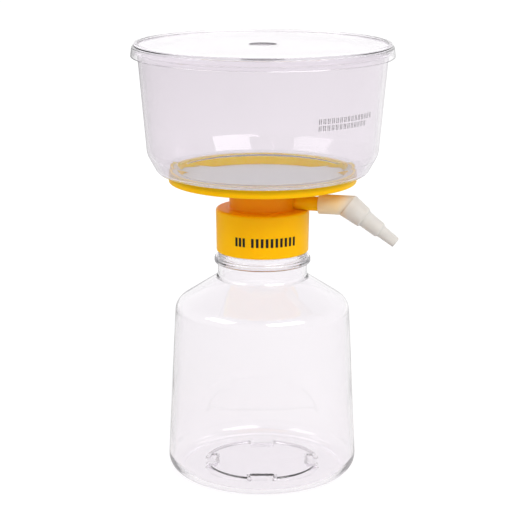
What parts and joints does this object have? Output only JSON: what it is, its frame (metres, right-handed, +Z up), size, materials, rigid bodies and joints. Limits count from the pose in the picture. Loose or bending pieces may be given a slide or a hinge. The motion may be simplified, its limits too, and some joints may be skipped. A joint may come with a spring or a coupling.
{
  "type": "vacuum filtration unit",
  "caption": "Clear lidded funnel on a yellow filter base with a side hose elbow, screwed by its collar on a clear shouldered receiver bottle.",
  "frame": {"origin": "centre of the ring that the bottle stands on", "axes": "+Z up along the unit's axis, +X the way the side port points"},
  "size_m": [0.1307, 0.1266, 0.214],
  "materials": {
    "clear_bottle": "clear, blown",
    "seal_rubber": "soft, matt",
    "yellow_plastic": "moulded, semi-gloss",
    "cotton": "fibrous",
    "membrane_white": "matt, finely porous",
    "clear_funnel": "clear, moulded",
    "clear_lid": "clear, moulded",
    "soft_translucent": "translucent, soft sheen"
  },
  "bodies": {
    "bottle": {"bottle": "clear_bottle"},
    "seal": {"sealing_ring": "seal_rubber"},
    "filter_head": {"filter_base": "yellow_plastic", "port_plug": "cotton", "membrane": "membrane_white", "funnel": "clear_funnel", "lid": "clear_lid"},
    "elbow": {"hose_elbow": "soft_translucent"}
  },
  "joints": [
    {"name": "collar_rise", "type": "slide", "parent": "bottle", "child": "seal", "axis": [0, 0, 1], "range_m": [0, 0.0053]},
    {"name": "collar_turn", "type": "hinge", "parent": "seal", "child": "filter_head", "pos_m": [0, 0, 0.12], "axis": [0, 0, 1], "range_deg": [0, 450]},
    {"name": "elbow_swivel", "type": "hinge", "parent": "filter_head", "child": "elbow", "pos_m": [0.034, 0, 0.13649], "axis": [1, 0, 0], "continuous": true}
  ],
  "couplings": [
    {"joint": "collar_rise", "follows": "collar_turn", "m_per_rad": 0.00067322}
  ]
}
